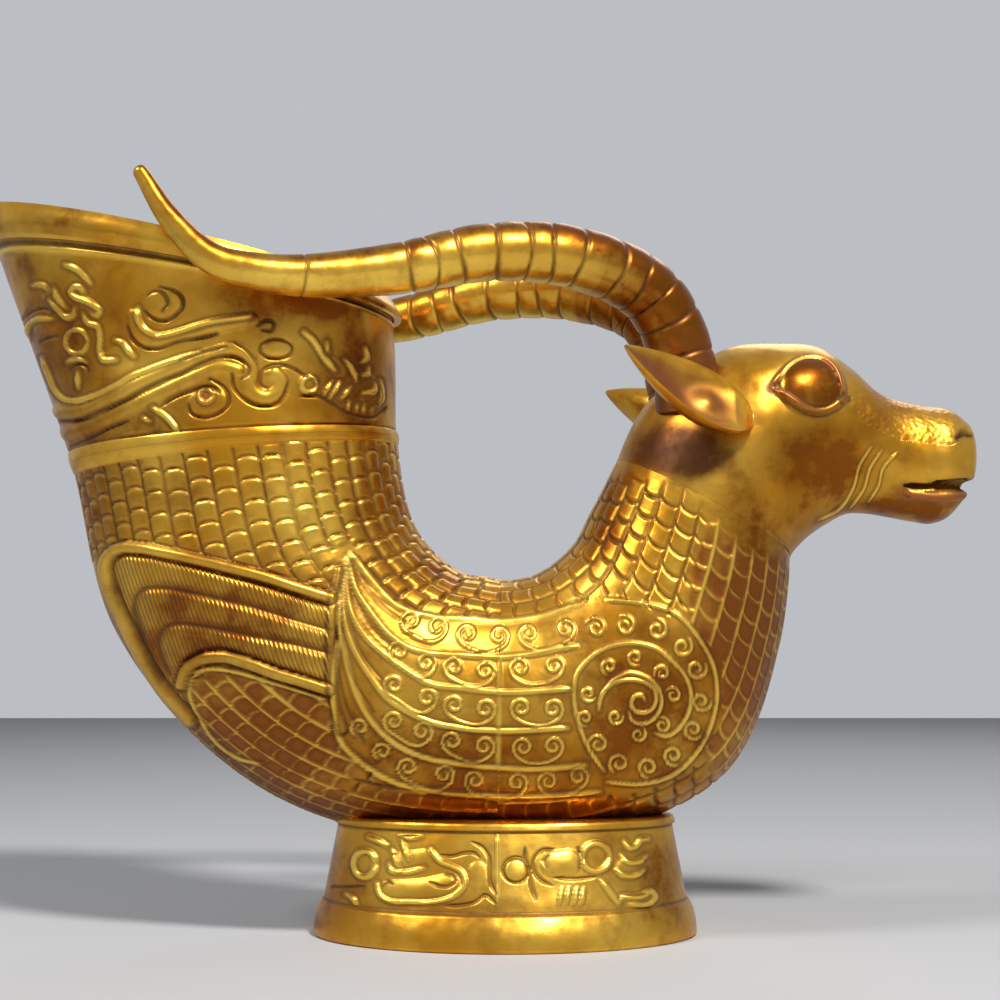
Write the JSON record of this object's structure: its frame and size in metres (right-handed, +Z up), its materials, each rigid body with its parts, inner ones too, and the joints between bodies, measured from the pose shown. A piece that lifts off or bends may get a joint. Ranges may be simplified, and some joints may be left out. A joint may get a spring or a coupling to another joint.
{
  "type": "rhyton wine cup",
  "caption": "Horn-shaped gilt bronze drinking cup with a flared oval mouth, a body bent under its belly that rises into an antelope head with swept-back ringed horns, and an oval foot.",
  "frame": {"origin": "on the table, under the middle of the cup's bounding box", "axes": "+X towards the muzzle, +Y towards the animal's left side, +Z up"},
  "size_m": [0.2498, 0.0946, 0.18],
  "materials": {
    "rim_gilt": "polished gilt with brown wear",
    "body_gilt": "chased gilt with brown patina in the recesses",
    "brown_bronze": "bare brown bronze",
    "head_gilt": "polished gilt",
    "horn_gilt": "polished gilt with brown grooves",
    "ear_gilt": "gilt, reddish brown inside",
    "foot_gilt": "gilt with worn relief"
  },
  "bodies": {
    "root": {"mouth_rim": "rim_gilt", "cup_bell": "body_gilt", "rear_belly": "body_gilt", "front_body": "body_gilt", "neck_bulkhead": "brown_bronze", "head": "head_gilt", "left_horn": "horn_gilt", "right_horn": "horn_gilt", "left_ear": "ear_gilt", "right_ear": "ear_gilt", "foot": "foot_gilt"}
  },
  "joints": []
}
